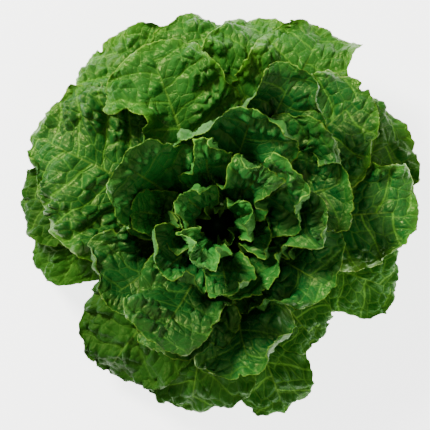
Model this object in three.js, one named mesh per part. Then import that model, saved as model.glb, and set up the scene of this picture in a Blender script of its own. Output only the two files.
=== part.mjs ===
// A head of open cos lettuce, standing upright on the cut end of its stem.
// Millimetres, +Z up, origin at the centre of the stem's cut face.
// Each leaf is one closed solid: a thin blade with a thick midrib on its back. It grows from
// the stem along a flaring shell, and a last pass eases neighbouring leaves clear of each other.

import * as THREE from "three";

const { degToRad, lerp, smoothstep } = THREE.MathUtils;

// How large the leaves have grown: each of these multiplies one size of every leaf
const REACH_GROWTH = 1;
const WIDTH_GROWTH = 1;

// Stem
const STEM_CUT_RADIUS = 21;
const STEM_HEIGHT = 64;
const STEM_CUT_BEVEL = 1.5;
const STEM_SIDES = 28;
const STEM_RINGS = 9;

// Blades and ribs
const BLADE_THICKNESS = 0.9;
const RIB_WIDTH_SHARE = 0.42; // of the foot's width, across the midrib
const RIB_FOOT_SHARE = 0.2; // of the midrib's thickness, where the leaf leaves the stem
const RIB_SWELL = 0.12; // share of the leaf over which the rib swells to its full thickness
const RIB_THINNING = 2.2; // how quickly the rib runs out towards the tip
const RIB_BEND = 1.35; // above 1, a leaf rises first and flares late
const WIDENS_FROM = 0.08; // shares of the way from foot to tip
const WIDEST_AT = 0.66;
const FLAT_UP_TO = 0.15; // below this a blade has no cup, fold or twist yet
const TURNED_BY = 0.75;
const FRILL_FROM = 0.1;
const FRILL_FULL_BY = 0.6;
const FRILL_OFFSET = 0.35; // in turns, of one side's waves from the other's
const FOLD_FROM = 0.3; // share of the way from the midrib to the margin

// Clear space
const STEM_GAP = 0.9; // at the foot
const STEM_ROOM = 3; // further up, where a leaf may bend between its points
const LEAF_GAP = 0.9;
const FLOOR_GAP = 0.8;

// How a leaf's mesh is divided, along the midrib and across each half of the blade
const ROWS = 12;
const HALF_COLUMNS = 4;
const COLUMNS = 2 * HALF_COLUMNS;

// The easing pass
const EASE_PASSES = 80;
const EASE_SPREAD = 0.3; // share of each push that the neighbouring points take on
const EASE_DEPTH = 22; // how deep two leaves may start inside each other and still be parted
const EASE_DEPTH_SHARE = 0.4; // the same, as a share of the distance from the axis
const EASE_REACH = 6; // how far beyond a leaf's margin its neighbours still feel it
const EASE_STEP = 2.5; // the most a point moves in one pass
const FACE_TO_FACE = -0.2; // cosine between two fronts, below which they face each other

// Each leaf leaves the stem above those further out that it overlaps
const ROOT_SPACING = 2.9;
const SIDE_SPACING = 1.2; // between leaves that only overlap at their sides

// Tiers of leaves, from the lowest and most open to the heart. root is the least height at which
// the leaves leave the stem, lean and droop the midrib's slope there and at its tip, foot the
// leaf's width at the stem, rib how far the midrib stands out of its back, and cup how much
// each strip of the blade turns up towards its front.
const TIERS = [
  { root: 4, lean: 52, droop: -54, foot: 24, rib: 4, cup: -2, frill: 8 },
  { root: 10, lean: 54, droop: -32, foot: 24, rib: 4, cup: 4, frill: 11 },
  { root: 17, lean: 60, droop: -6, foot: 23, rib: 3.6, cup: 9, frill: 12 },
  { root: 25, lean: 70, droop: 30, foot: 21, rib: 3.2, cup: 17, frill: 14 },
  { root: 34, lean: 76, droop: 54, foot: 17, rib: 2.6, cup: 18, frill: 13 },
  { root: 44, lean: 81, droop: 66, foot: 12, rib: 1.8, cup: 22, frill: 10 },
  { root: 55, lean: 85, droop: 80, foot: 8, rib: 1.2, cup: 22, frill: 6 },
];

// Every leaf, from the outside in. azimuth is where its tip points, reach how far the tip is
// from the axis and width its widest. twist turns the blade about its rib and sweep bends it
// sideways, in degrees. frill is the height of the margin's waves, waves their number along one
// side and phase where they start, in turns. Side 1 is the anticlockwise side seen from above:
// a fold turns the outer strips on its side up, or down if negative, and a nip narrows it.
const LEAVES = [
  { name: "low_leaf_1", tier: 0, azimuth: 86, reach: 154, width: 90 },
  { name: "low_leaf_2", tier: 0, azimuth: -70, reach: 154, width: 70, frill: 5 },
  { name: "low_leaf_3", tier: 0, azimuth: -171, reach: 143, width: 58 },
  { name: "low_leaf_4", tier: 0, azimuth: -20, reach: 148, width: 72 },
  { name: "low_leaf_5", tier: 0, azimuth: -98, reach: 145, width: 96 },
  { name: "low_leaf_6", tier: 0, azimuth: 172, reach: 152, width: 70 },
  { name: "low_leaf_7", tier: 0, azimuth: -127, reach: 143, width: 98 },
  { name: "low_leaf_8", tier: 0, azimuth: -50, reach: 118, width: 56 },
  { name: "outer_leaf_1", tier: 1, azimuth: 25, reach: 161, width: 108 },
  { name: "outer_leaf_2", tier: 1, azimuth: 120, reach: 164, width: 104 },
  { name: "outer_leaf_3", tier: 1, azimuth: 99, reach: 161, width: 78, phase: 0.4 },
  { name: "outer_leaf_4", tier: 1, azimuth: 77, reach: 160, width: 90 },
  { name: "outer_leaf_5", tier: 1, azimuth: 61, reach: 169, width: 86, waves: 3, phase: 0.7,
    folds: [{ side: -1, at: 1, span: 0.15, turn: 70 }] },
  { name: "outer_leaf_6", tier: 1, azimuth: 154, reach: 156, width: 150, waves: 2.6, phase: 0.15,
    nips: [
      { side: 1, at: 1, span: 0.2, share: 0.5 },
      { side: -1, at: 0.8, span: 0.6, share: 0.12 },
    ] },
  { name: "outer_leaf_7", tier: 2, azimuth: 4, reach: 147, width: 96,
    folds: [{ side: 1, at: 0.75, span: 0.32, turn: 46 }],
    nips: [{ side: -1, at: 0.8, span: 0.3, share: 0.15 }] },
  { name: "outer_leaf_8", tier: 2, azimuth: 42, reach: 148, width: 94, frill: 8, waves: 3, phase: 0.3 },
  { name: "outer_leaf_9", tier: 2, azimuth: 111, reach: 142, width: 106, waves: 2, phase: 0.55,
    nips: [{ side: 1, at: 0.7, span: 0.07, share: 0.7 }] },
  { name: "middle_leaf_1", tier: 3, azimuth: 63, reach: 122, width: 70, frill: 8, cup: 24,
    folds: [
      { side: 1, at: 0.7, span: 0.4, turn: 45 },
      { side: -1, at: 0.7, span: 0.4, turn: 40 },
    ] },
  { name: "middle_leaf_2", tier: 3, azimuth: 40, reach: 108, width: 76, cup: -8, twist: 8,
    frill: 9, phase: 0.5 },
  { name: "middle_leaf_3", tier: 3, azimuth: -77, reach: 108, width: 72, waves: 2.6, phase: 0.3,
    folds: [{ side: -1, at: 0.8, span: 0.22, turn: 30 }] },
  { name: "middle_leaf_4", tier: 3, azimuth: -29, reach: 94, width: 92, waves: 2.4, phase: 0.1 },
  { name: "middle_leaf_5", tier: 3, azimuth: -108, reach: 100, width: 72, cup: 12, phase: 0.6, twist: -10,
    folds: [{ side: 1, at: 0.6, span: 0.2, turn: 60 }] },
  { name: "middle_leaf_6", tier: 3, azimuth: 17, reach: 100, width: 72, waves: 2.8, twist: -12,
    folds: [{ side: -1, at: 0.8, span: 0.3, turn: 60 }] },
  { name: "middle_leaf_7", tier: 3, azimuth: -146, reach: 97, width: 90, frill: 15, waves: 3,
    folds: [{ side: 1, at: 0.75, span: 0.25, turn: 40 }] },
  { name: "inner_leaf_1", tier: 4, azimuth: -119, reach: 92, width: 74, droop: 44, cup: 8,
    sweep: -8, frill: 9, phase: 0.2,
    folds: [{ side: -1, at: 0.85, span: 0.3, turn: -60 }] },
  { name: "inner_leaf_2", tier: 4, azimuth: 72, reach: 84, width: 80, droop: 48, waves: 2.6, phase: 0.45,
    folds: [{ side: 1, at: 0.8, span: 0.25, turn: 70 }] },
  { name: "inner_leaf_3", tier: 4, azimuth: 147, reach: 80, width: 78, frill: 8, droop: 52, cup: -22 },
  { name: "inner_leaf_4", tier: 4, azimuth: 7, reach: 76, width: 54, frill: 11, waves: 3 },
  { name: "inner_leaf_5", tier: 4, azimuth: -52, reach: 58, width: 84, droop: 60, cup: -12,
    frill: 8, phase: 0.3 },
  { name: "inner_leaf_6", tier: 4, azimuth: 170, reach: 62, width: 40, frill: 6, cup: -12 },
  { name: "crown_leaf_1", tier: 5, azimuth: 30, reach: 66, width: 60, droop: 54,
    folds: [{ side: 1, at: 0.7, span: 0.3, turn: 50 }] },
  { name: "crown_leaf_2", tier: 5, azimuth: -138, reach: 50, width: 54, waves: 2.6, phase: 0.4,
    folds: [{ side: -1, at: 0.7, span: 0.3, turn: 60 }] },
  { name: "crown_leaf_3", tier: 5, azimuth: -82, reach: 50, width: 40, frill: 8, phase: 0.6 },
  { name: "crown_leaf_4", tier: 5, azimuth: -14, reach: 42, width: 34, frill: 7, waves: 3 },
  { name: "crown_leaf_5", tier: 5, azimuth: 101, reach: 64, width: 36, droop: 54, tip: 0.35 },
  { name: "crown_leaf_6", tier: 5, azimuth: 52, reach: 52, width: 48, waves: 3, phase: 0.7 },
  { name: "crown_leaf_7", tier: 5, azimuth: -168, reach: 40, width: 46, waves: 3, phase: 0.2 },
  { name: "heart_leaf_1", tier: 6, azimuth: 138, reach: 33, width: 40, droop: 70 },
  { name: "heart_leaf_2", tier: 6, azimuth: -120, reach: 29, width: 40, waves: 3, phase: 0.4 },
  { name: "heart_leaf_3", tier: 6, azimuth: 20, reach: 25, width: 34 },
  { name: "heart_leaf_4", tier: 6, azimuth: -50, reach: 19, width: 24 },
  { name: "heart_leaf_5", tier: 6, azimuth: 110, reach: 16, width: 22 },
];
const PLAIN_LEAF = {
  twist: 0,
  sweep: 0,
  tip: 0.6, // share of the full width left across the blunt tip
  waves: 2.2,
  phase: 0,
  folds: [],
  nips: [],
};

// The stem is a dome: nearly upright at the cut, and rounding in towards its growing tip.
function stemRadius(height) {
  return STEM_CUT_RADIUS * Math.sqrt(1 - Math.min(1, height / STEM_HEIGHT) ** 2);
}

// Where on the stem a leaf leaves it: above every leaf further out that its foot overlaps.
function rootHeight(leaf, outerLeaves) {
  let { root } = leaf;
  for (const outer of outerLeaves) {
    const turn = Math.abs(((leaf.azimuth - outer.azimuth + 540) % 360) - 180);
    const between = degToRad(turn) * stemRadius(outer.root);
    if (between < (outer.foot + leaf.foot * RIB_WIDTH_SHARE) / 2) {
      root = Math.max(root, outer.root + ROOT_SPACING);
    } else if (between < (outer.foot + leaf.foot) / 2) {
      root = Math.max(root, outer.root + SIDE_SPACING);
    }
  }
  return root;
}

// The midrib's line as radius and height, in equal steps from the root to the tip.
const RIB_STEPS = 60;
const NEARBY = 0.01; // the share of the midrib on each side that gives its direction
function ribLine({ root, lean, droop, reach }) {
  const line = [{ radius: 0, height: 0 }];
  for (let k = 1; k <= RIB_STEPS; k++) {
    const slope = degToRad(lerp(lean, droop, ((k - 0.5) / RIB_STEPS) ** RIB_BEND));
    const last = line[k - 1];
    line.push({ radius: last.radius + Math.cos(slope), height: last.height + Math.sin(slope) });
  }
  const start = stemRadius(root) + STEM_GAP;
  const step = (reach - start) / line[RIB_STEPS].radius;
  const points = line.map((p) => ({
    radius: start + step * p.radius,
    height: root + step * p.height,
  }));
  return { points, length: step * RIB_STEPS };
}

// The point of a leaf's shell a share of the way up its rib and some millimetres to one side.
function shellPoint(leaf, share, aside) {
  const at = THREE.MathUtils.clamp(share, 0, 1) * RIB_STEPS;
  const k = Math.min(RIB_STEPS - 1, Math.floor(at));
  const [low, high] = leaf.line.points.slice(k, k + 2);
  const radius = lerp(low.radius, high.radius, at - k);
  const height = lerp(low.height, high.height, at - k);
  const angle = degToRad(leaf.azimuth + leaf.sweep * (share ** 2 - 1)) + aside / radius;
  return new THREE.Vector3(radius * Math.cos(angle), radius * Math.sin(angle), height);
}

// A bump of height 1 around a place, running out over a span.
function bump(at, place, span) {
  return Math.exp(-(((at - place) / span) ** 2));
}

// Half the blade's width, from the foot through the broad shoulders to the blunt tip.
function halfWidth(leaf, share, side) {
  const rounding = Math.max(0, (share - WIDEST_AT) / (1 - WIDEST_AT));
  let half = lerp(leaf.foot, leaf.width, smoothstep(share, WIDENS_FROM, WIDEST_AT)) / 2;
  half *= Math.sqrt(1 - (1 - leaf.tip ** 2) * rounding ** 2);
  for (const nip of leaf.nips) {
    if (nip.side === side) half *= 1 - nip.share * bump(share, nip.at, nip.span);
  }
  return half;
}

// How far up the rib the blade's points fall back on either side of a round tip.
function tipDrop(leaf, share, out) {
  const rounding = Math.max(0, (share - WIDEST_AT) / (1 - WIDEST_AT));
  const sagitta = (leaf.width / 2) * (1 - Math.sqrt(1 - (leaf.tip * out) ** 2));
  return (sagitta * rounding ** 2) / leaf.line.length;
}

// How far one strip of the blade is turned towards the leaf's front, in radians.
function turnAt(leaf, share, side, out) {
  let turn = leaf.cup * out;
  for (const fold of leaf.folds) {
    const along = bump(share, fold.at, fold.span);
    if (fold.side === side) turn += fold.turn * along * smoothstep(out, FOLD_FROM, 1);
  }
  return degToRad((side * turn + leaf.twist) * smoothstep(share, FLAT_UP_TO, TURNED_BY));
}

// A leaf's middle surface: rows of points from the foot to the tip, each across the blade.
function bladeRows(leaf) {
  const rows = [];
  for (let i = 0; i <= ROWS; i++) {
    const share = i / ROWS;
    const row = [];
    row[HALF_COLUMNS] = shellPoint(leaf, share, 0);
    const along = shellPoint(leaf, share + NEARBY, 0);
    along.sub(shellPoint(leaf, share - NEARBY, 0)).normalize();
    for (const side of [-1, 1]) {
      const half = halfWidth(leaf, share, side);
      const point = (out) => shellPoint(leaf, share - tipDrop(leaf, share, out), side * out * half);
      for (let j = 1; j <= HALF_COLUMNS; j++) {
        const strip = point(j / HALF_COLUMNS).sub(point((j - 1) / HALF_COLUMNS));
        strip.applyAxisAngle(along, turnAt(leaf, share, side, (j - 0.5) / HALF_COLUMNS));
        const k = HALF_COLUMNS + side * j;
        row[k] = row[k - side].clone().add(strip);
      }
    }
    rows.push(row);
  }
  const normals = frontNormals(rows);
  rows.forEach((row, i) => {
    row.forEach((p, j) => {
      const v = j / HALF_COLUMNS - 1;
      const turns = (leaf.waves * i) / ROWS + leaf.phase + (v > 0 ? FRILL_OFFSET : 0);
      const lift = leaf.frill * v * v * smoothstep(i / ROWS, FRILL_FROM, FRILL_FULL_BY);
      p.addScaledVector(normals[i][j], lift * Math.sin(2 * Math.PI * turns));
    });
  });
  return rows;
}

// Unit normals of a surface's points, towards the leaf's front.
function frontNormals(rows) {
  return rows.map((row, i) =>
    row.map((_, j) => {
      const up = rows[Math.min(i + 1, ROWS)][j].clone().sub(rows[Math.max(i - 1, 0)][j]);
      const across = row[Math.min(j + 1, COLUMNS)].clone().sub(row[Math.max(j - 1, 0)]);
      return up.cross(across).normalize();
    }),
  );
}

// How far the back stands behind the middle surface: half the blade, plus the rib.
function backDepth(leaf, i, j) {
  const share = i / ROWS;
  const aside = (j / HALF_COLUMNS - 1) * halfWidth(leaf, share, Math.sign(j - HALF_COLUMNS));
  const swelling = lerp(RIB_FOOT_SHARE, 1, smoothstep(share, 0, RIB_SWELL));
  const rib = leaf.rib * swelling * (1 - share) ** RIB_THINNING;
  return BLADE_THICKNESS / 2 + rib * bump(aside, 0, (leaf.foot * RIB_WIDTH_SHARE) / 2);
}

// The two triangles of each cell, mirrored about the midrib, as point numbers.
function cellTriangles() {
  const triangles = [];
  for (let i = 0; i < ROWS; i++) {
    for (let j = 0; j < COLUMNS; j++) {
      const a = i * (COLUMNS + 1) + j;
      const [b, c, d] = [a + 1, a + COLUMNS + 1, a + COLUMNS + 2];
      if (j < HALF_COLUMNS) triangles.push([a, c, b], [b, c, d]);
      else triangles.push([a, c, d], [a, d, b]);
    }
  }
  return triangles;
}
const TRIANGLES = cellTriangles();
const AROUND = Array.from({ length: (ROWS + 1) * (COLUMNS + 1) }, (_, n) =>
  TRIANGLES.filter((corners) => corners.includes(n)),
);

// Where a leaf's surface comes nearest to a point, and how thick the leaf is there.
const near = new THREE.Vector3();
const face = new THREE.Triangle();
function nearestOn(leaf, target) {
  let start = 0;
  let least = Infinity;
  leaf.points.forEach((p, n) => {
    const distance = p.at.distanceToSquared(target);
    if (distance < least) [least, start] = [distance, n];
  });
  const best = { distance: Infinity, at: new THREE.Vector3() };
  for (const corners of AROUND[start]) {
    const [a, b, c] = corners.map((n) => leaf.points[n]);
    face.set(a.at, b.at, c.at).closestPointToPoint(target, near);
    const distance = near.distanceTo(target);
    if (distance >= best.distance) continue;
    const shares = face.getBarycoord(near, new THREE.Vector3());
    if (shares === null) continue;
    best.distance = distance;
    best.at.copy(near);
    best.corners = [a, b, c];
    best.shares = shares.toArray();
    best.normal = face.getNormal(new THREE.Vector3());
    best.depth = a.depth * shares.x + b.depth * shares.y + c.depth * shares.z;
  }
  return best;
}

// Pushes a point of one leaf and the nearest surface of another to the right distance. The
// leaf further in belongs in front, and two that face each other belong front to front.
function part(point, other, pointIsInner) {
  if (point.at.distanceTo(other.middle) > other.extent + EASE_REACH) return;
  const spot = nearestOn(other, point.at);
  if (spot.corners === undefined) return;
  const between = point.at.clone().sub(spot.at);
  const ahead = between.dot(spot.normal);
  const across = Math.sqrt(Math.max(0, spot.distance ** 2 - ahead ** 2));
  const depth = Math.min(EASE_DEPTH, Math.hypot(spot.at.x, spot.at.y) * EASE_DEPTH_SHARE);
  if (across > EASE_REACH || Math.abs(ahead) > depth) return;
  const facing = point.normal.dot(spot.normal) < FACE_TO_FACE;
  const inFront = facing || pointIsInner;
  let room = LEAF_GAP + BLADE_THICKNESS;
  if (!facing) room += (pointIsInner ? point.depth : spot.depth) - BLADE_THICKNESS / 2;
  const short = inFront ? room - ahead : room + ahead;
  if (short <= 0) return;
  const push = spot.normal.clone().multiplyScalar(((inFront ? 1 : -1) * short) / 2);
  point.push.add(push);
  spot.corners.forEach((corner, n) => corner.push.addScaledVector(push, -spot.shares[n]));
}

// Spreads each leaf's pushes over its surface, and keeps it on its foot, off the floor and
// clear of the stem.
function giveWay(leaf, spread) {
  for (const p of leaf.points) {
    p.offset.add(p.push.clampLength(0, EASE_STEP));
    p.push.set(0, 0, 0);
  }
  const last = leaf.points.length - 1;
  const shared = leaf.points.map((p, n) => {
    const j = n % (COLUMNS + 1);
    const mean = new THREE.Vector3();
    const beside = [n - COLUMNS - 1, n + COLUMNS + 1].filter((m) => m >= 0 && m <= last);
    if (j > 0) beside.push(n - 1);
    if (j < COLUMNS) beside.push(n + 1);
    for (const m of beside) mean.addScaledVector(leaf.points[m].offset, 1 / beside.length);
    return p.offset.clone().lerp(mean, spread);
  });
  leaf.points.forEach((p, n) => {
    if (n <= COLUMNS) p.offset.set(0, 0, 0);
    else p.offset.copy(shared[n]);
    p.at.addVectors(p.ideal, p.offset);
    p.at.z = Math.max(p.at.z, FLOOR_GAP + p.depth);
    const clear = stemRadius(p.at.z) + STEM_ROOM;
    const radius = Math.hypot(p.at.x, p.at.y);
    if (n > COLUMNS && p.at.z < STEM_HEIGHT && radius < clear) {
      p.at.x *= clear / radius;
      p.at.y *= clear / radius;
    }
    p.offset.subVectors(p.at, p.ideal);
  });
}

// Takes stock of where a leaf has got to.
function survey(leaf) {
  const rows = leaf.rows.map((row, i) => row.map((_, j) => leaf.points[i * (COLUMNS + 1) + j].at));
  const normals = frontNormals(rows).flat();
  leaf.points.forEach((p, n) => p.normal.copy(normals[n]));
  leaf.middle = new THREE.Box3().setFromPoints(leaf.points.map((p) => p.at)).getCenter(near).clone();
  leaf.extent = Math.max(...leaf.points.map((p) => p.at.distanceTo(leaf.middle)));
}

function easeApart(leaves) {
  for (let pass = 0; pass < EASE_PASSES; pass++) {
    leaves.forEach((inner, n) => {
      for (const outer of leaves.slice(0, n)) {
        const apart = inner.middle.distanceTo(outer.middle);
        if (apart > inner.extent + outer.extent + LEAF_GAP) continue;
        for (const point of outer.points) part(point, inner, false);
        for (const point of inner.points) part(point, outer, true);
      }
    });
    const spread = EASE_SPREAD * Math.max(0, 1 - (2 * pass) / EASE_PASSES);
    for (const leaf of leaves) {
      giveWay(leaf, spread);
      survey(leaf);
    }
  }
}

// The closed solid: a front and a back that meet along the margin, and a flat foot.
function leafGeometry(leaf) {
  const positions = [];
  const add = (p) => positions.push(p.x, p.y, p.z) / 3 - 1;
  const front = [];
  const back = [];
  leaf.points.forEach((p, n) => {
    const i = Math.floor(n / (COLUMNS + 1));
    const j = n % (COLUMNS + 1);
    if (i === ROWS || j === 0 || j === COLUMNS) {
      front[n] = add(p.at);
      back[n] = front[n];
    } else {
      front[n] = add(p.at.clone().addScaledVector(p.normal, BLADE_THICKNESS / 2));
      back[n] = add(p.at.clone().addScaledVector(p.normal, -p.depth));
    }
  });
  const faces = [];
  for (const [a, b, c] of TRIANGLES) {
    faces.push(front[a], front[b], front[c], back[a], back[c], back[b]);
  }
  for (let j = 0; j < COLUMNS; j++) {
    if (j > 0) faces.push(front[j], front[j + 1], back[j]);
    if (j < COLUMNS - 1) faces.push(back[j], front[j + 1], back[j + 1]);
  }
  const geometry = new THREE.BufferGeometry();
  geometry.setAttribute("position", new THREE.Float32BufferAttribute(positions, 3));
  geometry.setIndex(faces);
  geometry.computeVertexNormals();
  return geometry;
}

function stemGeometry() {
  const outline = [new THREE.Vector2(0, 0)];
  outline.push(new THREE.Vector2(STEM_CUT_RADIUS - STEM_CUT_BEVEL, 0));
  for (let k = 0; k < STEM_RINGS; k++) {
    const height = lerp(STEM_CUT_BEVEL, STEM_HEIGHT, Math.sin((k / STEM_RINGS) * (Math.PI / 2)));
    outline.push(new THREE.Vector2(stemRadius(height), height));
  }
  outline.push(new THREE.Vector2(0, STEM_HEIGHT));
  return new THREE.LatheGeometry(outline, STEM_SIDES).rotateX(Math.PI / 2);
}

// Base colour by the first word of a piece's name
const COLOURS = {
  stem: 0xd9dfae,
  low: 0x2b5a1c,
  outer: 0x3f7a26,
  middle: 0x39742a,
  inner: 0x356e2a,
  crown: 0x336a2a,
  heart: 0x4c7d33,
};
const LEAF_ROUGHNESS = 0.45;

function piece(name, geometry) {
  const color = COLOURS[name.split("_")[0]];
  const material = new THREE.MeshStandardMaterial({ color, roughness: LEAF_ROUGHNESS });
  const mesh = new THREE.Mesh(geometry, material);
  mesh.name = name;
  return mesh;
}

function buildLettuce() {
  const leaves = [];
  for (const entry of LEAVES) {
    const leaf = { ...PLAIN_LEAF, ...TIERS[entry.tier], ...entry };
    leaf.reach *= REACH_GROWTH;
    leaf.width *= WIDTH_GROWTH;
    leaf.root = rootHeight(leaf, leaves);
    leaf.line = ribLine(leaf);
    leaf.rows = bladeRows(leaf);
    leaf.points = leaf.rows.flatMap((row, i) =>
      row.map((ideal, j) => ({
        ideal,
        at: ideal.clone(),
        normal: new THREE.Vector3(),
        offset: new THREE.Vector3(),
        push: new THREE.Vector3(),
        depth: backDepth(leaf, i, j),
      })),
    );
    survey(leaf);
    leaves.push(leaf);
  }
  easeApart(leaves);

  const head = new THREE.Group();
  head.add(piece("stem", stemGeometry()));
  for (const leaf of leaves) head.add(piece(leaf.name, leafGeometry(leaf)));
  return head;
}

export default buildLettuce();
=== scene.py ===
import math

import bmesh
import bpy
import numpy as np
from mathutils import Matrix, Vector


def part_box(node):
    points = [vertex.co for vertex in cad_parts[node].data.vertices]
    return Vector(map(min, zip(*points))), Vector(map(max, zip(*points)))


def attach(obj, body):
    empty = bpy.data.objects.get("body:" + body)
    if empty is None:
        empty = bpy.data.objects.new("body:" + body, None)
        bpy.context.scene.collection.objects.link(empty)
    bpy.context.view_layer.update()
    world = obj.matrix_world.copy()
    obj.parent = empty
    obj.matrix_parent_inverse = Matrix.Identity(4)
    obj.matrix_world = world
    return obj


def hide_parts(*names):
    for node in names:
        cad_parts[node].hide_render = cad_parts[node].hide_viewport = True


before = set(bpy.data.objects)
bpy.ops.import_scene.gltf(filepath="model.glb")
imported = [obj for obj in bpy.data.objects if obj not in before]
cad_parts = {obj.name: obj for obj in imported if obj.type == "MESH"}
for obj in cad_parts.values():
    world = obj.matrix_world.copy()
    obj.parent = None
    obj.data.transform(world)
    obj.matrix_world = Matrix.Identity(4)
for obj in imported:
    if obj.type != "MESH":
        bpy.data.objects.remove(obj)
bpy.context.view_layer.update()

bl_info = {
    "name": "Head of cos lettuce",
    "version": (1, 0, 0),
    "blender": (4, 5, 0),
    "location": "View3D > Sidebar > Lettuce",
    "description": "Grows crinkled, veined leaves over the packed model of a lettuce head",
    "category": "Object",
}

ROWS = 12  # rows of patches from a leaf's foot to its tip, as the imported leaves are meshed
COLUMNS = 8  # patches across a leaf
MIDDLE = COLUMNS // 2
MERGE = 1e-5  # metres: corners closer than this are one corner
MM = 0.001

# ---------------------------------------------------------------- reading a packed leaf


def unit(vectors):
    return vectors / np.maximum(np.linalg.norm(vectors, axis=-1, keepdims=True), 1e-12)


def merged_copy(node):
    """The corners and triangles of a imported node, with the corners that coincide made one."""
    bm = bmesh.new()
    bm.from_mesh(node.data)
    bmesh.ops.remove_doubles(bm, verts=bm.verts, dist=MERGE)
    bmesh.ops.triangulate(bm, faces=bm.faces)
    bm.verts.ensure_lookup_table()
    points = np.array([vert.co[:] for vert in bm.verts])
    triangles = [tuple(vert.index for vert in face.verts) for face in bm.faces]
    bm.free()
    return points, triangles


def margin_lines(third):
    """Every line that goes straight on, corner after corner, from one side of the foot to the other.

    Three edges meet at both ends of the foot. Everywhere else, as many lie left of the line as right.
    """
    spokes = {}
    for corner, _ in third:
        spokes[corner] = spokes.get(corner, 0) + 1
    for start, end in third:
        if spokes[start] != 3:
            continue
        line = [start, end]
        while len(line) < 2 * ROWS + COLUMNS + 1:
            ahead = line[-2]
            for _ in range(spokes[line[-1]] // 2):
                ahead = third[(line[-1], ahead)]
            line.append(ahead)
        yield line


def read_sheet(line, third, front):
    """One side of a leaf as rows and columns of corners, found from its tip down, or None."""
    grid = np.full((ROWS + 1, COLUMNS + 1), -1)
    grid[:, 0] = line[:ROWS + 1]
    grid[ROWS] = line[ROWS:ROWS + COLUMNS + 1]
    grid[:, COLUMNS] = line[:ROWS + COLUMNS - 1:-1]

    def beyond(start, end):
        return third.get((start, end) if front else (end, start), -2)

    for row in range(ROWS - 1, -1, -1):
        for column in range(COLUMNS):
            left = grid[row + 1, column]
            right = grid[row + 1, column + 1]
            if column < MIDDLE:
                below_right = beyond(left, right)
                below_left = beyond(left, below_right)
            else:
                below_left = beyond(left, right)
                below_right = beyond(below_left, right)
            found = grid[row, column:column + 2]
            if below_left != found[0] or found[1] not in (-1, below_right):
                return None
            grid[row, column + 1] = below_right
    return grid


def leaf_front(node):
    """The front of a packed leaf as rows and columns of points, and how thick its middle is."""
    points, triangles = merged_copy(node)
    third = {}
    for a, b, c in triangles:
        third[(a, b)] = c
        third[(b, c)] = a
        third[(c, a)] = b
    for line in margin_lines(third):
        front = read_sheet(line, third, True)
        back = read_sheet(line, third, False)
        if front is None or back is None:
            continue
        front = points[front]
        back = points[back]
        foot = front[0, MIDDLE] - back[0, MIDDLE]
        if foot.dot(front[0, MIDDLE] * (1, 1, 0)) < 0:
            return front, np.linalg.norm(front - back, axis=2)[:, MIDDLE]
    raise RuntimeError(f"{node.name}: no margin found round the leaf")


# ---------------------------------------------------------------- shaping a leaf


def smooth_line(points, steps):
    """A smooth run through points along their first axis, with steps between each two."""
    before = 2 * points[0] - points[1]
    after = 2 * points[-1] - points[-2]
    padded = np.concatenate([before[None], points, after[None]])
    share = np.arange(steps).reshape((steps,) + (1,) * (points.ndim - 1)) / steps
    pieces = []
    for k in range(len(points) - 1):
        p0, p1, p2, p3 = padded[k:k + 4]
        pieces.append(0.5 * (2 * p1 + (p2 - p0) * share + (2 * p0 - 5 * p1 + 4 * p2 - p3) * share ** 2
                             + (3 * p1 - p0 - 3 * p2 + p3) * share ** 3))
    pieces.append(points[-1][None])
    return np.concatenate(pieces)


def smoothstep(values, low, high):
    share = np.clip((values - low) / (high - low), 0, 1)
    return share * share * (3 - 2 * share)


def running_length(points, axis):
    """How far each point is from the first, along an axis of the grid, in metres."""
    steps = np.linalg.norm(np.diff(points, axis=axis), axis=2)
    start = np.zeros_like(np.take(steps, [0], axis=axis))
    return np.concatenate([start, np.cumsum(steps, axis=axis)], axis=axis)


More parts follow.
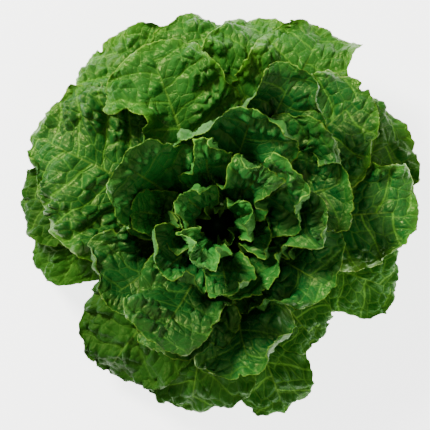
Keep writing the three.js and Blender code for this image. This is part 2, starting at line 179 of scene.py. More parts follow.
class Leaf:
    """The fine surface of one leaf, with what its veins and colours need to know at each point."""

    def __init__(self, name, detail, seed, tone_and_painted_light, settings):
        self.name = name
        coarse, thickness = leaf_front(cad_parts[name])
        surface = smooth_line(coarse, detail[0])
        self.front = smooth_line(surface.transpose(1, 0, 2), detail[1]).transpose(1, 0, 2)
        rows, columns = self.front.shape[:2]
        self.rows = rows
        self.columns = columns
        middle = columns // 2
        along = np.gradient(self.front, axis=0)
        aside = np.gradient(self.front, axis=1)
        self.lift = unit(np.cross(along, aside))
        across = running_length(self.front, 1)
        width = across[:, -1:].copy()
        across = across - across[:, middle:middle + 1]
        climb = running_length(self.front, 0)
        height = climb[:, middle:middle + 1] + 0 * across
        to_side = np.minimum(across - across[:, :1], across[:, -1:] - across)
        to_tip = climb[-1:] - climb
        self.margin = (np.maximum(to_side, 1e-6) ** -3.0 + np.maximum(to_tip, 1e-6) ** -3.0) ** (-1 / 3)
        edge = (to_side < 1e-7) | (to_tip < 1e-7)
        self.margin[edge] = 0
        side = np.sign(across)[..., None] * unit(aside)
        reach = to_side / np.maximum(to_side + to_tip, 1e-9)
        self.outward = unit(side * (1 - reach[..., None]) + unit(along) * reach[..., None])
        self.place = np.stack([across / MM, height / MM, 0 * across + seed], axis=2)
        share = np.linspace(0, 1, rows)[:, None]
        rib = smooth_line(thickness, detail[0])[:, None]
        self.rib_width = np.maximum(0.15 * width[0, 0] * (1 - share) ** 1.6 + 0.0004, 0.0007)
        self.rib = np.exp(-(across / self.rib_width) ** 2) * (1 - smoothstep(share, 0.8, 1.0))
        self.rib_height = np.maximum(rib - thickness.min(), 0) * self.rib
        self.tone_and_painted_light = tone_and_painted_light
        self.blade = settings.blade_thickness * smoothstep(self.margin, -0.0004, 0.002)

    def mesh(self):
        """The leaf as one closed skin: its front, its back and its foot."""
        rows, columns = self.rows, self.columns
        numbers = np.arange(rows * columns).reshape(rows, columns)
        behind = numbers.copy()
        inside = np.zeros((rows, columns), dtype=bool)
        inside[:-1, 1:-1] = True
        behind[inside] = rows * columns + np.arange(inside.sum())
        back = self.front - self.lift * (self.blade + self.rib_height)[..., None]
        points = np.concatenate([self.front.reshape(-1, 3), back[inside]])
        front_faces = np.stack(
            [numbers[:-1, :-1], numbers[1:, :-1], numbers[1:, 1:], numbers[:-1, 1:]], 2)
        back_faces = np.stack(
            [behind[:-1, :-1], behind[:-1, 1:], behind[1:, 1:], behind[1:, :-1]], 2)
        faces = np.concatenate([front_faces.reshape(-1, 4), back_faces.reshape(-1, 4)]).tolist()
        faces.append(numbers[0].tolist() + behind[0, -2:0:-1].tolist())
        mesh = bpy.data.meshes.new(self.name + "_skin")
        mesh.from_pydata(points.tolist(), [], faces)
        under = np.concatenate([np.zeros(rows * columns), np.ones(inside.sum())])

        def store(label, kind, values, key):
            both = np.concatenate([values.reshape(rows * columns, -1), values[inside]])
            mesh.attributes.new(label, kind, "POINT").data.foreach_set(key, both.ravel())

        store("leaf_place", "FLOAT_VECTOR", self.place, "vector")
        store("lift", "FLOAT_VECTOR", self.lift, "vector")
        store("outward", "FLOAT_VECTOR", self.outward, "vector")
        # each leaf's tone, whose brightness is partly painted light and shade
        store("leaf_tone_and_painted_light", "FLOAT_VECTOR", np.broadcast_to(self.tone_and_painted_light, self.lift.shape).copy(), "vector")
        store("from_margin", "FLOAT", self.margin[..., None] / MM, "value")
        store("midrib", "FLOAT", self.rib[..., None], "value")
        mesh.attributes.new("underside", "FLOAT", "POINT").data.foreach_set("value", under)
        mesh.polygons.foreach_set("use_smooth", [True] * len(mesh.polygons))
        mesh.update()
        return mesh


# ---------------------------------------------------------------- wiring nodes


class Wiring:
    """Adds nodes to a tree and joins them."""

    def __init__(self, tree):
        self.tree = tree

    def put(self, socket, value):
        if isinstance(value, bpy.types.NodeSocket):
            self.tree.links.new(value, socket)
        else:
            socket.default_value = value

    def node(self, kind, inputs=None, **settings):
        node = self.tree.nodes.new(kind)
        for key, value in settings.items():
            setattr(node, key, value)
        for key, value in (inputs or {}).items():
            self.put(node.inputs[key], value)
        return node

    def math(self, operation, first, second=None):
        node = self.node("ShaderNodeMath", operation=operation)
        self.put(node.inputs[0], first)
        if second is not None:
            self.put(node.inputs[1], second)
        return node.outputs[0]

    def add(self, first, second):
        return self.math("ADD", first, second)

    def times(self, first, second):
        return self.math("MULTIPLY", first, second)

    def vector(self, operation, first, second):
        node = self.node("ShaderNodeVectorMath", operation=operation)
        self.put(node.inputs[0], first)
        self.put(node.inputs["Scale"] if operation == "SCALE" else node.inputs[1], second)
        return node.outputs["Vector"]

    def ramp(self, value, low, high, start=0.0, end=1.0):
        """start where value is at low, end where it is at high, and smooth in between."""
        node = self.node("ShaderNodeMapRange", interpolation_type="SMOOTHSTEP", clamp=True)
        for socket, amount in zip(node.inputs, (value, low, high, start, end)):
            self.put(socket, amount)
        return node.outputs[0]

    def noise(self, vector, scale, detail=2.0):
        node = self.node("ShaderNodeTexNoise", {"Vector": vector, "Scale": scale, "Detail": detail})
        return node.outputs[0]

    def cells(self, vector, scale):
        """How far a place is from the edge of its cell, as a share of a cell."""
        node = self.node("ShaderNodeTexVoronoi", {"Vector": vector, "Scale": scale, "Randomness": 0.85},
                         feature="DISTANCE_TO_EDGE", voronoi_dimensions="2D")
        return node.outputs["Distance"]

    def mix(self, share, first, second):
        node = self.node("ShaderNodeMix", data_type="RGBA", blend_type="MIX")
        self.put(node.inputs[0], share)
        self.put(node.inputs[6], first)
        self.put(node.inputs[7], second)
        return node.outputs[2]


def vein_pattern(wire, place, spacing, cell):
    """How far a place on a blade is, in millimetres, from the side veins and two sizes of net."""
    drift = wire.node("ShaderNodeTexNoise", {"Vector": place, "Scale": 0.028, "Detail": 1.0})
    drift = wire.vector("SUBTRACT", drift.outputs["Color"], (0.5, 0.5, 0.5))
    drift = wire.vector("SCALE", drift, 16.0)
    parts = wire.node("ShaderNodeSeparateXYZ", {0: wire.vector("ADD", place, drift)})
    still = wire.node("ShaderNodeSeparateXYZ", {0: place})
    aside = wire.math("ABSOLUTE", still.outputs[0])
    rise = wire.add(wire.times(aside, 0.42), wire.times(wire.times(aside, aside), 0.006))
    level = wire.math("SUBTRACT", parts.outputs[1], rise)
    half = wire.times(wire.math("GREATER_THAN", still.outputs[0], 0.0), wire.times(spacing, 0.5))
    turn = wire.math("FRACT", wire.math("DIVIDE", wire.add(level, half), spacing))
    side = wire.times(wire.math("ABSOLUTE", wire.math("SUBTRACT", turn, 0.5)), wire.times(spacing, 0.8))
    shift = wire.times(still.outputs[2], 41.0)
    flat = wire.node("ShaderNodeCombineXYZ", {0: wire.add(parts.outputs[0], shift),
                                              1: wire.add(level, shift)}).outputs[0]
    net = wire.times(wire.cells(flat, wire.math("DIVIDE", 1.0, cell)), cell)
    small = wire.times(cell, 0.42)
    mesh = wire.times(wire.cells(flat, wire.math("DIVIDE", 1.0, small)), small)
    return {"side": side, "net": net, "mesh": mesh, "along": still.outputs[1], "aside": aside}


# ---------------------------------------------------------------- the crinkles, as geometry nodes

RELIEF_INPUTS = (
    ("Pucker Height", "NodeSocketFloat"),
    ("Pucker Size", "NodeSocketFloat"),
    ("Vein Spacing", "NodeSocketFloat"),
    ("Swell", "NodeSocketFloat"),
    ("Frill Depth", "NodeSocketFloat"),
    ("Tooth Depth", "NodeSocketFloat"),
    ("Notch Depth", "NodeSocketFloat"),
    ("Seed", "NodeSocketFloat"),
    ("Material", "NodeSocketMaterial"),
)


# How fine each kind of relief is, as the scale of its noise: per metre for those taken from the
# place in the room, and per millimetre for the patches, which are taken from the place on the blade.
RUFFLE_SCALE = 62.0
FINE_RUFFLE_SCALE = 170.0
SWELL_SCALE = 34.0
TOOTH_SCALE = 260.0
NOTCH_SCALE = 95.0
PATCH_SCALE = 0.026

# Shares of the pucker height, and how far in from the margin the edge's own relief reaches, in mm
CRUMPLE_SHARE = 0.28
RELIEF_LEVEL = 1.0  # taken off, so that a blade sinks along its veins as much as it rises between
FINE_RUFFLE_SHARE = 0.35
RUFFLE_REACH = 20.0
NOTCH_REACH = 10.0
TOOTH_REACH = 4.0


def relief_tree():
    """Raises a blade between its veins, ruffles and toothes its margin, and sets its material."""
    tree = bpy.data.node_groups.get("Leaf Relief")
    if tree:
        return tree
    tree = bpy.data.node_groups.new("Leaf Relief", "GeometryNodeTree")
    tree.interface.new_socket("Geometry", in_out="INPUT", socket_type="NodeSocketGeometry")
    for label, kind in RELIEF_INPUTS:
        tree.interface.new_socket(label, in_out="INPUT", socket_type=kind)
    tree.interface.new_socket("Geometry", in_out="OUTPUT", socket_type="NodeSocketGeometry")
    wire = Wiring(tree)
    given = wire.node("NodeGroupInput").outputs

    def read(label, kind):
        node = wire.node("GeometryNodeInputNamedAttribute", {"Name": label}, data_type=kind)
        return node.outputs["Attribute"]

    place = read("leaf_place", "FLOAT_VECTOR")
    margin = read("from_margin", "FLOAT")
    rib = read("midrib", "FLOAT")
    veins = vein_pattern(wire, place, given["Vein Spacing"], given["Pucker Size"])
    cell = given["Pucker Size"]
    blister = wire.ramp(veins["net"], 0.0, wire.times(cell, 0.3))
    crumple = wire.ramp(veins["mesh"], 0.0, wire.times(cell, 0.12))
    ridge = wire.ramp(veins["side"], 0.3, wire.times(given["Vein Spacing"], 0.34))
    blister = wire.times(blister, wire.add(0.45, wire.times(ridge, 0.55)))
    relief = wire.add(blister, wire.times(crumple, CRUMPLE_SHARE))
    relief = wire.add(relief, ridge)
    relief = wire.math("SUBTRACT", relief, RELIEF_LEVEL)
    patch = wire.ramp(wire.noise(place, PATCH_SCALE), 0.38, 0.62, 0.15, 1.5)
    relief = wire.times(wire.times(relief, patch), given["Pucker Height"])
    relief = wire.times(relief, wire.ramp(margin, 0.5, 10.0, 0.25, 1.0))
    relief = wire.times(relief, wire.ramp(veins["along"], 8.0, 45.0))
    relief = wire.times(relief, wire.math("SUBTRACT", 1.0, wire.times(rib, 0.9)))
    far = wire.node("ShaderNodeCombineXYZ", {0: given["Seed"], 1: given["Seed"], 2: given["Seed"]})
    here = wire.node("GeometryNodeInputPosition").outputs[0]
    here = wire.vector("ADD", here, far.outputs[0])
    ruffle = wire.math("SUBTRACT", wire.noise(here, RUFFLE_SCALE, 1.0), 0.5)
    fine = wire.math("SUBTRACT", wire.noise(here, FINE_RUFFLE_SCALE, 1.0), 0.5)
    ruffle = wire.add(ruffle, wire.times(fine, FINE_RUFFLE_SHARE))
    ruffle = wire.times(wire.times(ruffle, 2.0), given["Frill Depth"])
    ruffle = wire.times(ruffle, wire.ramp(margin, 0.0, RUFFLE_REACH, 1.0, 0.0))
    ruffle = wire.times(ruffle, wire.ramp(veins["along"], 20.0, 60.0))
    swell = wire.times(wire.math("SUBTRACT", wire.noise(here, SWELL_SCALE, 1.0), 0.5), given["Swell"])
    swell = wire.times(swell, wire.ramp(veins["along"], 15.0, 50.0))
    ruffle = wire.add(ruffle, swell)
    tooth = wire.math("SUBTRACT", wire.noise(here, TOOTH_SCALE, 1.5), 0.55)
    tooth = wire.times(wire.times(tooth, 2.0), given["Tooth Depth"])
    tooth = wire.times(tooth, wire.ramp(margin, 0.0, TOOTH_REACH, 1.0, 0.0))
    notch = wire.ramp(wire.noise(here, NOTCH_SCALE, 1.0), 0.3, 0.38, 1.0, 0.0)
    notch = wire.times(notch, given["Notch Depth"])
    notch = wire.times(notch, wire.ramp(margin, 0.0, NOTCH_REACH, 1.0, 0.0))
    tooth = wire.math("SUBTRACT", tooth, notch)
    rise = wire.times(wire.add(relief, ruffle), MM)
    upward = wire.vector("SCALE", read("lift", "FLOAT_VECTOR"), rise)
    outward = wire.vector("SCALE", read("outward", "FLOAT_VECTOR"), wire.times(tooth, MM))
    moved = wire.node("GeometryNodeSetPosition", {
        "Geometry": given["Geometry"], "Offset": wire.vector("ADD", upward, outward)})
    kept = wire.node("GeometryNodeStoreNamedAttribute", {
        "Geometry": moved.outputs[0], "Name": "puff", "Value": relief},
        data_type="FLOAT", domain="POINT")
    real = wire.node("GeometryNodeRealizeInstances", {"Geometry": kept.outputs[0]})
    painted = wire.node("GeometryNodeSetMaterial", {
        "Geometry": real.outputs[0], "Material": given["Material"]})
    wire.node("NodeGroupOutput", {"Geometry": painted.outputs[0]})
    return tree


def grow(mesh, name, values):
    """A plain mesh object made by the relief tree from a smooth skin."""
    tree = relief_tree()
    piece = bpy.data.objects.new(name, mesh)
    bpy.context.scene.collection.objects.link(piece)
    modifier = piece.modifiers.new("Relief", "NODES")
    modifier.node_group = tree
    for item in tree.interface.items_tree:
        if item.in_out == "INPUT" and item.name in values:
            modifier[item.identifier] = values[item.name]
    graph = bpy.context.evaluated_depsgraph_get()
    grown = bpy.data.meshes.new_from_object(
        piece.evaluated_get(graph), preserve_all_data_layers=True, depsgraph=graph)
    piece.modifiers.clear()
    piece.data = grown
    bpy.data.meshes.remove(mesh)
    for label in ("lift", "outward"):
        grown.attributes.remove(grown.attributes[label])
    return piece


# ---------------------------------------------------------------- materials


def shade(colour, factor=1.0):
    return tuple(channel * factor for channel in colour[:3]) + (1.0,)


WAX_IOR = 1.4
WAX_TINT = (0.85, 1.0, 0.25, 1.0)


def leaf_material(name, look, colours, sizes):
    """A living leaf: green blade, paler veins and margin, a matt and paler back, a waxy gloss."""
    material = bpy.data.materials.new(name)
    material.use_nodes = True
    material.node_tree.nodes.clear()
    wire = Wiring(material.node_tree)

    def read(label, output="Fac"):
        return wire.node("ShaderNodeAttribute", attribute_name=label).outputs[output]

    place = read("leaf_place", "Vector")
    margin = read("from_margin")
    rib = read("midrib")
    under = read("underside")
    puff = read("puff")
    tone_and_painted_light = wire.node("ShaderNodeSeparateXYZ", {0: read("leaf_tone_and_painted_light", "Vector")})
    body = wire.node("ShaderNodeTexCoord").outputs["Object"]
    veins = vein_pattern(wire, place, sizes.vein_spacing / MM, sizes.pucker_size / MM)
    side = wire.ramp(veins["side"], 0.25, sizes.vein_width / MM, 1.0, 0.0)
    net = wire.ramp(veins["net"], 0.1, 0.75, 1.0, 0.0)
    mesh = wire.ramp(veins["mesh"], 0.05, 0.45, 1.0, 0.0)
    away = wire.ramp(veins["along"], 15.0, 40.0)
    cloud = wire.noise(body, 24.0, 3.0)
    grain = wire.noise(body, 210.0, 3.0)
    colour = wire.mix(wire.ramp(cloud, 0.3, 0.7), shade(look["deep"]), shade(look["blade"]))
    colour = wire.mix(wire.times(wire.ramp(grain, 0.35, 0.7), 0.35), colour, shade(look["blade"], 1.35))
    valley = wire.ramp(puff, -0.2, -1.6)
    colour = wire.mix(wire.times(valley, 0.2), colour, shade(look["vein"], 0.7))
    lines = wire.add(wire.times(side, 0.55), wire.add(wire.times(net, 0.25), wire.times(mesh, 0.08)))
    lines = wire.times(wire.math("MINIMUM", wire.times(lines, tone_and_painted_light.outputs[2]), 0.85), away)
    colour = wire.mix(lines, colour, shade(look["vein"]))
    border = wire.ramp(wire.add(margin, wire.times(cloud, 14.0)), 3.0, 19.0, look["border"], 0.0)
    colour = wire.mix(border, colour, shade(look["margin"]))
    rim = wire.ramp(margin, 0.35, 1.0, 0.75, 0.0)
    colour = wire.mix(rim, colour, shade(look["rim"]))
    foot = wire.ramp(veins["along"], 12.0, 60.0, 1.0, 0.0)
    stalk = wire.math("MAXIMUM", wire.times(wire.ramp(rib, 0.25, 0.9), 0.6), wire.times(foot, 0.9))
    colour = wire.mix(stalk, colour, shade(colours.midrib))
    pale = wire.mix(0.5, colour, shade(look["back"]))
    colour = wire.mix(wire.times(under, 0.8), colour, pale)
    colour = wire.mix(tone_and_painted_light.outputs[1], colour, shade(look["margin"]))
    # painted light and shade: the leaf's listed brightness scales its whole colour, partly its own tone
    # and partly lighter or darker for how light and shade fall on it
    colour = wire.vector("SCALE", colour, tone_and_painted_light.outputs[0])
    rough = wire.add(wire.times(grain, 0.22), look["rough"])
    rough = wire.add(rough, wire.times(under, 0.18))
    bump = wire.times(wire.add(wire.times(net, -0.5), wire.times(mesh, -0.35)), away)
    bump = wire.add(bump, wire.times(wire.noise(body, 900.0, 2.0), 0.5))
    bump = wire.add(bump, wire.times(side, -0.6))
    bump = wire.times(bump, wire.math("SUBTRACT", 1.0, wire.times(under, 1.6)))
    relief = wire.node("ShaderNodeBump", {"Height": bump, "Distance": 0.0007, "Strength": 0.6})
    skin = wire.node("ShaderNodeBsdfPrincipled", {
        "Base Color": colour, "Roughness": rough, "Normal": relief.outputs[0]})
    skin.inputs["IOR"].default_value = WAX_IOR
    skin.inputs["Specular IOR Level"].default_value = look["gloss"]
    skin.inputs["Specular Tint"].default_value = WAX_TINT
    wire.node("ShaderNodeOutputMaterial", {"Surface": skin.outputs[0]})
    return material


def stem_material(colours):
    """A pale, faintly ridged stem whose cut face has dried a little brown."""
    material = bpy.data.materials.new("Lettuce stem")
    material.use_nodes = True
    material.node_tree.nodes.clear()
    wire = Wiring(material.node_tree)
    body = wire.node("ShaderNodeTexCoord").outputs["Object"]
    parts = wire.node("ShaderNodeSeparateXYZ", {0: body})
    cloud = wire.noise(body, 90.0, 4.0)
    colour = wire.mix(cloud, shade(colours.stem), shade(colours.stem, 0.75))
    cut = wire.ramp(parts.outputs[2], 0.0005, 0.0025, 1.0, 0.0)
    bud = wire.ramp(wire.add(parts.outputs[2], wire.times(cloud, 0.01)), 0.030, 0.052)
    colour = wire.mix(bud, colour, shade(colours.bud))
    brown = wire.mix(wire.ramp(cloud, 0.35, 0.65), shade(colours.cut), shade(colours.stem, 0.8))
    colour = wire.mix(cut, colour, brown)
    relief = wire.node("ShaderNodeBump", {
        "Height": wire.noise(body, 420.0, 3.0), "Distance": 0.0006, "Strength": 0.5})
    skin = wire.node("ShaderNodeBsdfPrincipled", {
        "Base Color": colour, "Roughness": wire.add(wire.times(cloud, 0.2), 0.35),
        "Normal": relief.outputs[0]})
    wire.node("ShaderNodeOutputMaterial", {"Surface": skin.outputs[0]})
    return material


# ---------------------------------------------------------------- the leaves of each whorl

# deep and blade are the two greens of the blade; rough is the least roughness of its front.
LOOKS = {
    "low": dict(deep=(0.005, 0.045, 0.005), blade=(0.013, 0.086, 0.009), vein=(0.11, 0.28, 0.03),
                margin=(0.036, 0.150, 0.008), rim=(0.11, 0.25, 0.03), back=(0.036, 0.120, 0.020),
                border=0.45, rough=0.38, gloss=0.2),
    "outer": dict(deep=(0.004, 0.056, 0.009), blade=(0.012, 0.118, 0.019), vein=(0.12, 0.34, 0.03),
                  margin=(0.070, 0.235, 0.008), rim=(0.24, 0.42, 0.04), back=(0.045, 0.160, 0.025),
                  border=0.65, rough=0.25, gloss=0.52),
    "middle": dict(deep=(0.003, 0.046, 0.008), blade=(0.011, 0.104, 0.017), vein=(0.08, 0.25, 0.025),
                   margin=(0.036, 0.170, 0.012), rim=(0.19, 0.37, 0.035), back=(0.036, 0.140, 0.024),
                   border=0.45, rough=0.25, gloss=0.46),
    "inner": dict(deep=(0.004, 0.050, 0.009), blade=(0.012, 0.110, 0.018), vein=(0.08, 0.25, 0.03),
                  margin=(0.036, 0.172, 0.015), rim=(0.19, 0.37, 0.035), back=(0.040, 0.150, 0.028),
                  border=0.4, rough=0.26, gloss=0.46),
    "heart": dict(deep=(0.006, 0.064, 0.012), blade=(0.017, 0.134, 0.022), vein=(0.08, 0.26, 0.03),
                  margin=(0.040, 0.188, 0.018), rim=(0.18, 0.37, 0.04), back=(0.045, 0.165, 0.030),
                  border=0.35, rough=0.3, gloss=0.42),
}

# How finely each whorl's leaves are meshed: steps between two rows and between two columns.
DETAIL = {"low": (8, 10), "outer": (11, 12), "middle": (10, 12), "inner": (10, 10), "crown": (8, 8),
          "heart": (8, 8)}

# Where the leaves' ruffles and notches are taken from, in one fixed field of noise
LEAF_SEED = 0.0

# How each leaf differs from its whorl: how bright it is, how far it turns to yellow-green, and
# how strongly its veins show. The brightness is partly the leaf's own tone and partly painted
# light and shade: leaves are darkened or brightened for how the light falls on them, and the
# heart's leaves are brightened against the shade they sit in.
PLAIN_TONE_AND_PAINTED_LIGHT = (1.0, 0.0, 0.9)
LEAF_TONES_AND_PAINTED_LIGHT = {
    "low_leaf_1": (0.6, 0.0, 0.8), "low_leaf_2": (1.45, 0.1, 1.7),
    "low_leaf_3": (0.8, 0.35, 0.8), "low_leaf_4": (1.7, 0.15, 1.8),
    "low_leaf_5": (1.15, 0.15, 1.0), "low_leaf_6": (0.72, 0.05, 1.0),
    "low_leaf_7": (0.7, 0.2, 0.4), "low_leaf_8": (1.4, 0.05, 1.6),
    "outer_leaf_1": (0.95, 0.1, 1.2), "outer_leaf_2": (1.0, 0.2, 1.0),
    "outer_leaf_3": (0.9, 0.2, 0.8), "outer_leaf_4": (0.95, 0.22, 0.9),
    "outer_leaf_5": (0.9, 0.22, 1.0), "outer_leaf_6": (0.8, 0.05, 1.4),
    "outer_leaf_7": (1.1, 0.0, 1.1), "outer_leaf_8": (0.85, 0.0, 1.0),
    "outer_leaf_9": (0.92, 0.15, 0.8), "middle_leaf_1": (0.85, 0.0, 1.0),
    "middle_leaf_2": (0.9, 0.1, 0.5), "middle_leaf_3": (1.0, 0.0, 0.9),
    "middle_leaf_4": (1.2, 0.0, 0.9), "middle_leaf_5": (0.72, 0.05, 0.8),
    "middle_leaf_6": (0.9, 0.0, 0.8), "middle_leaf_7": (0.6, 0.05, 0.8),
    "inner_leaf_1": (0.68, 0.1, 0.9), "inner_leaf_2": (1.1, 0.0, 0.8),
    "inner_leaf_3": (1.15, 0.1, 0.7), "inner_leaf_5": (1.1, 0.15, 0.7),
    "inner_leaf_6": (1.3, 0.2, 0.3), "crown_leaf_1": (1.1, 0.05, 0.8),
    "crown_leaf_5": (1.3, 0.1, 0.6), "heart_leaf_1": (1.3, 0.1, 0.7),
    "heart_leaf_2": (1.3, 0.1, 0.7), "heart_leaf_3": (1.3, 0.1, 0.7),
    "heart_leaf_4": (1.5, 0.1, 0.7), "heart_leaf_5": (1.5, 0.1, 0.7),
}


# Leaves shorter or narrower than these, in millimetres, have shallower swells and notches.
FULL_LENGTH = 120
FULL_BREADTH = 90


def build_whorl(context, whorl, look):
    """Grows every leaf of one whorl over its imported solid."""
    sizes = context.scene.lettuce_leaves
    colours = context.scene.lettuce_colours
    material = leaf_material(f"Lettuce {whorl} leaf", LOOKS[look], colours, sizes)
    names = sorted(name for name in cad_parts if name.startswith(whorl + "_leaf"))
    if not names:
        raise RuntimeError(f"the packed model has no {whorl} leaves")
    for number, name in enumerate(names):
        seed = number + 1 + 10 * list(DETAIL).index(whorl)
        leaf = Leaf(name, DETAIL[whorl], seed, LEAF_TONES_AND_PAINTED_LIGHT.get(name, PLAIN_TONE_AND_PAINTED_LIGHT), sizes)
        reach = min(1.0, leaf.place[-1, leaf.columns // 2, 1] / FULL_LENGTH)
        breadth = min(1.0, float(np.ptp(leaf.place[:, :, 0], axis=1).max()) / FULL_BREADTH)
        piece = grow(leaf.mesh(), name + "_leaf", {
            "Pucker Height": sizes.pucker_height / MM * reach,
            "Pucker Size": sizes.pucker_size / MM,
            "Vein Spacing": sizes.vein_spacing / MM,
            "Swell": sizes.swell / MM * reach,
            "Frill Depth": sizes.frill_depth / MM * reach,
            "Tooth Depth": sizes.tooth_depth / MM,
            "Notch Depth": sizes.notch_depth / MM * breadth ** 2,
            "Seed": LEAF_SEED,
            "Material": material,
        })
        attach(piece, "root")
        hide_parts(name)


class LeafSettings(bpy.types.PropertyGroup):
    """Sizes that all the leaves share."""
    blade_thickness: bpy.props.FloatProperty(
        name="Blade thickness", description="Thickness of a blade away from its midrib",
        default=0.0005, min=0.0001, unit="LENGTH", subtype="DISTANCE")
    pucker_height: bpy.props.FloatProperty(
        name="Pucker height", description="How far the blade rises between its veins",
        default=0.0032, min=0.0, unit="LENGTH", subtype="DISTANCE")
    pucker_size: bpy.props.FloatProperty(
        name="Pucker size", description="Width of one blister between the net veins",
        default=0.0095, min=0.001, unit="LENGTH", subtype="DISTANCE")
    vein_spacing: bpy.props.FloatProperty(
        name="Vein spacing", description="Distance between side veins along the midrib",
        default=0.021, min=0.002, unit="LENGTH", subtype="DISTANCE")
    vein_width: bpy.props.FloatProperty(
        name="Vein width", description="Half the width of a side vein",
        default=0.0009, min=0.0001, unit="LENGTH", subtype="DISTANCE")
    swell: bpy.props.FloatProperty(
        name="Swell", description="How far the blade's slow undulations rise and fall in all",
        default=0.0105, min=0.0, unit="LENGTH", subtype="DISTANCE")
    frill_depth: bpy.props.FloatProperty(
        name="Frill depth", description="How far the margin ruffles up and down",
        default=0.0058, min=0.0, unit="LENGTH", subtype="DISTANCE")
    tooth_depth: bpy.props.FloatProperty(
        name="Tooth depth", description="Length of the fine teeth along the margin",
        default=0.0019, min=0.0, unit="LENGTH", subtype="DISTANCE")
    notch_depth: bpy.props.FloatProperty(
        name="Notch depth", description="Depth of the notches in a margin",
        default=0.0045, min=0.0, unit="LENGTH", subtype="DISTANCE")


class ColourSettings(bpy.types.PropertyGroup):
    """Colours of the parts that every leaf shares."""
    midrib: bpy.props.FloatVectorProperty(
        name="Midrib", description="Colour of the midribs and the leaves' feet",
        default=(0.13, 0.27, 0.03), size=3, min=0.0, max=1.0, subtype="COLOR")
    stem: bpy.props.FloatVectorProperty(
        name="Stem", description="Colour of the stem's skin",
        default=(0.62, 0.70, 0.38), size=3, min=0.0, max=1.0, subtype="COLOR")
    bud: bpy.props.FloatVectorProperty(
        name="Growing tip", description="Colour of the stem's tip, where the youngest leaves are",
        default=(0.012, 0.075, 0.004), size=3, min=0.0, max=1.0, subtype="COLOR")
    cut: bpy.props.FloatVectorProperty(
        name="Cut face", description="Colour of the dried cut at the foot of the stem",
        default=(0.36, 0.22, 0.10), size=3, min=0.0, max=1.0, subtype="COLOR")


# The camera sees this far to each side of its axis, in metres, at this distance.
SEEN_HALF_WIDTH = 0.1591
SEEN_DISTANCE = 1.12


class StageSettings(bpy.types.PropertyGroup):
    """The floor, the lights and the camera."""
    floor_size: bpy.props.FloatProperty(
        name="Floor size", description="Width of the floor", default=6.0, min=1.0,
        unit="LENGTH", subtype="DISTANCE")
    floor_colour: bpy.props.FloatVectorProperty(
        name="Floor", description="Colour of the floor", default=(0.9, 0.9, 0.9), size=3,
        min=0.0, max=1.0, subtype="COLOR")
    camera_height: bpy.props.FloatProperty(
        name="Camera height", description="Height of the camera above the floor",
        default=1.2, min=0.3, unit="LENGTH", subtype="DISTANCE")
    view_angle: bpy.props.FloatProperty(
        name="View angle", description="Angle that the camera sees from side to side",
        default=2 * math.atan(SEEN_HALF_WIDTH / SEEN_DISTANCE), min=0.05, subtype="ANGLE",
        unit="ROTATION")


class LETTUCE_OT_stem(bpy.types.Operator):
    """Build the cut stem"""
    bl_idname = "lettuce.stem"
    bl_label = "Stem"

    def execute(self, context):
        colours = context.scene.lettuce_colours
        points, _ = merged_copy(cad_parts["stem"])
        radius = np.hypot(points[:, 0], points[:, 1])
        order = np.argsort(points[:, 2] + 1e-3 * MM * radius)
        low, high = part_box("stem")
        sides, rings = 96, 48
        profile = [(radius[points[:, 2] < low[2] + MERGE].max(), low[2])]
        levels = sorted({round(float(z), 6) for z in points[order, 2]} - {round(float(low[2]), 6)})
        for level in levels:
            ring = radius[abs(points[:, 2] - level) < MERGE]
            profile.append((ring.max(), level))
        profile = np.array(profile)
        heights = np.concatenate([[low[2]], np.linspace(profile[1, 1], high[2], rings)])
        widths = np.interp(heights, profile[:, 1], profile[:, 0])
        turn = np.linspace(0, 2 * math.pi, sides, endpoint=False)
        bm = bmesh.new()
        loops = []
        for width, height in zip(widths, heights):
            rise = height - low[2]
            swell = 0.0008 * smoothstep(rise, 0.002, 0.006) * smoothstep(high[2] - height, 0.0, 0.01)
            ribs = swell * (0.5 + 0.5 * np.sin(5 * turn + 260 * rise) * np.cos(3 * turn - 190 * rise))
            loop = [bm.verts.new(((width + r) * math.cos(t), (width + r) * math.sin(t), height))
                    for t, r in zip(turn, ribs)]
            loops.append(loop)
        for under, over in zip(loops, loops[1:]):
            for k in range(sides):
                n = (k + 1) % sides
                bm.faces.new((under[k], under[n], over[n], over[k]))
        bm.faces.new(loops[0][::-1])
        bm.faces.new(loops[-1])
        bmesh.ops.remove_doubles(bm, verts=bm.verts, dist=MERGE)
        bmesh.ops.recalc_face_normals(bm, faces=bm.faces)
        mesh = bpy.data.meshes.new("stem_skin")
        bm.to_mesh(mesh)
        bm.free()
        mesh.polygons.foreach_set("use_smooth", [True] * len(mesh.polygons))
        mesh.set_sharp_from_angle(angle=math.radians(50))
        mesh.materials.append(stem_material(colours))
        piece = bpy.data.objects.new("cut_stem", mesh)
        context.scene.collection.objects.link(piece)
        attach(piece, "root")
        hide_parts("stem")
        return {"FINISHED"}


class LETTUCE_OT_low_leaves(bpy.types.Operator):
    """Grow the lowest leaves, which lie near the floor"""
    bl_idname = "lettuce.low_leaves"
    bl_label = "Low leaves"

    def execute(self, context):
        build_whorl(context, "low", "low")
        return {"FINISHED"}


class LETTUCE_OT_outer_leaves(bpy.types.Operator):
    """Grow the broad outer leaves"""
    bl_idname = "lettuce.outer_leaves"
    bl_label = "Outer leaves"

    def execute(self, context):
        build_whorl(context, "outer", "outer")
        return {"FINISHED"}


class LETTUCE_OT_middle_leaves(bpy.types.Operator):
    """Grow the middle leaves"""
    bl_idname = "lettuce.middle_leaves"
    bl_label = "Middle leaves"

    def execute(self, context):
        build_whorl(context, "middle", "middle")
        return {"FINISHED"}


class LETTUCE_OT_inner_leaves(bpy.types.Operator):
    """Grow the inner leaves and the crown round the heart"""
    bl_idname = "lettuce.inner_leaves"
    bl_label = "Inner leaves"

    def execute(self, context):
        build_whorl(context, "inner", "inner")
        build_whorl(context, "crown", "inner")
        return {"FINISHED"}


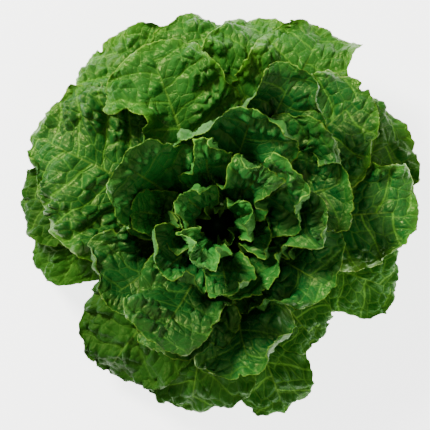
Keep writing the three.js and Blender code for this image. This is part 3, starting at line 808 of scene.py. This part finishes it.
class LETTUCE_OT_heart_leaves(bpy.types.Operator):
    """Grow the small crumpled leaves of the heart"""
    bl_idname = "lettuce.heart_leaves"
    bl_label = "Heart leaves"

    def execute(self, context):
        build_whorl(context, "heart", "heart")
        return {"FINISHED"}


FLOOR_DROP = 0.0002  # the floor lies this far under the cut face, so the two don't flicker
FLOOR_GLOW = 3.4
ROOM_LIGHT = 0.38
LIT_HEIGHT = 0.08  # the lamps face this height above the floor
LAMPS = (
    dict(name="key", place=(-0.8, 0.85, 1.15), size=0.4, power=49.0, colour=(1.0, 0.99, 0.93)),
    dict(name="fill", place=(0.9, -0.7, 1.4), size=1.2, power=8.0, colour=(1.0, 1.0, 1.0)),
)
CAMERA_SHIFT = (-0.00465, 0.02326)


def area_light(scene, name, place, target, size, power, colour):
    """A soft lamp at a place, facing a target."""
    lamp = bpy.data.lights.new(name, "AREA")
    lamp.shape = "SQUARE"
    lamp.size = size
    lamp.energy = power
    lamp.color = colour
    holder = bpy.data.objects.new(name, lamp)
    holder.location = place
    holder.rotation_euler = (Vector(target) - Vector(place)).to_track_quat("-Z", "Y").to_euler()
    scene.collection.objects.link(holder)


class LETTUCE_OT_stage(bpy.types.Operator):
    """Set out the floor, the lights and the camera"""
    bl_idname = "lettuce.stage"
    bl_label = "Stage"

    def execute(self, context):
        scene = context.scene
        stage = scene.lettuce_stage
        half = stage.floor_size / 2
        mesh = bpy.data.meshes.new("floor")
        corners = [(x, y, -FLOOR_DROP)
                   for x, y in ((-half, -half), (half, -half), (half, half), (-half, half))]
        mesh.from_pydata(corners, [], [(0, 1, 2, 3)])
        paint = bpy.data.materials.new("Floor paint")
        paint.use_nodes = True
        skin = paint.node_tree.nodes["Principled BSDF"]
        skin.inputs["Base Color"].default_value = shade(stage.floor_colour)
        skin.inputs["Roughness"].default_value = 0.9
        skin.inputs["Emission Color"].default_value = (1.0, 1.0, 1.0, 1.0)
        skin.inputs["Emission Strength"].default_value = FLOOR_GLOW
        mesh.materials.append(paint)
        floor = bpy.data.objects.new("floor", mesh)
        scene.collection.objects.link(floor)
        centre = (0.0, 0.0, LIT_HEIGHT)
        for lamp in LAMPS:
            area_light(scene, target=centre, **lamp)
        world = bpy.data.worlds.new("Soft room")
        world.use_nodes = True
        world.node_tree.nodes["Background"].inputs[0].default_value = (1.0, 1.0, 1.0, 1.0)
        world.node_tree.nodes["Background"].inputs[1].default_value = ROOM_LIGHT
        scene.world = world
        lens = bpy.data.cameras.new("camera")
        lens.angle = stage.view_angle
        lens.shift_x, lens.shift_y = CAMERA_SHIFT
        camera = bpy.data.objects.new("camera", lens)
        camera.location = (0.0, 0.0, stage.camera_height)
        scene.collection.objects.link(camera)
        scene.camera = camera
        return {"FINISHED"}


class LETTUCE_PT_panel(bpy.types.Panel):
    """The lettuce's sizes, colours and builders"""
    bl_idname = "LETTUCE_PT_panel"
    bl_label = "Head of lettuce"
    bl_space_type = "VIEW_3D"
    bl_region_type = "UI"
    bl_category = "Lettuce"

    def draw(self, context):
        for group in (context.scene.lettuce_leaves, context.scene.lettuce_colours,
                      context.scene.lettuce_stage):
            for key in group.__annotations__:
                self.layout.prop(group, key)
        for builder in BUILDERS:
            self.layout.operator(builder.bl_idname)


BUILDERS = (LETTUCE_OT_stem, LETTUCE_OT_low_leaves, LETTUCE_OT_outer_leaves, LETTUCE_OT_middle_leaves,
            LETTUCE_OT_inner_leaves, LETTUCE_OT_heart_leaves, LETTUCE_OT_stage)
CLASSES = (LeafSettings, ColourSettings, StageSettings) + BUILDERS + (LETTUCE_PT_panel,)


def register():
    for item in CLASSES:
        bpy.utils.register_class(item)
    bpy.types.Scene.lettuce_leaves = bpy.props.PointerProperty(type=LeafSettings)
    bpy.types.Scene.lettuce_colours = bpy.props.PointerProperty(type=ColourSettings)
    bpy.types.Scene.lettuce_stage = bpy.props.PointerProperty(type=StageSettings)


def unregister():
    del bpy.types.Scene.lettuce_stage
    del bpy.types.Scene.lettuce_colours
    del bpy.types.Scene.lettuce_leaves
    for item in reversed(CLASSES):
        bpy.utils.unregister_class(item)


def main():
    register()
    bpy.ops.lettuce.stem()
    bpy.ops.lettuce.low_leaves()
    bpy.ops.lettuce.outer_leaves()
    bpy.ops.lettuce.middle_leaves()
    bpy.ops.lettuce.inner_leaves()
    bpy.ops.lettuce.heart_leaves()
    bpy.ops.lettuce.stage()


if __name__ == "__main__":
    main()
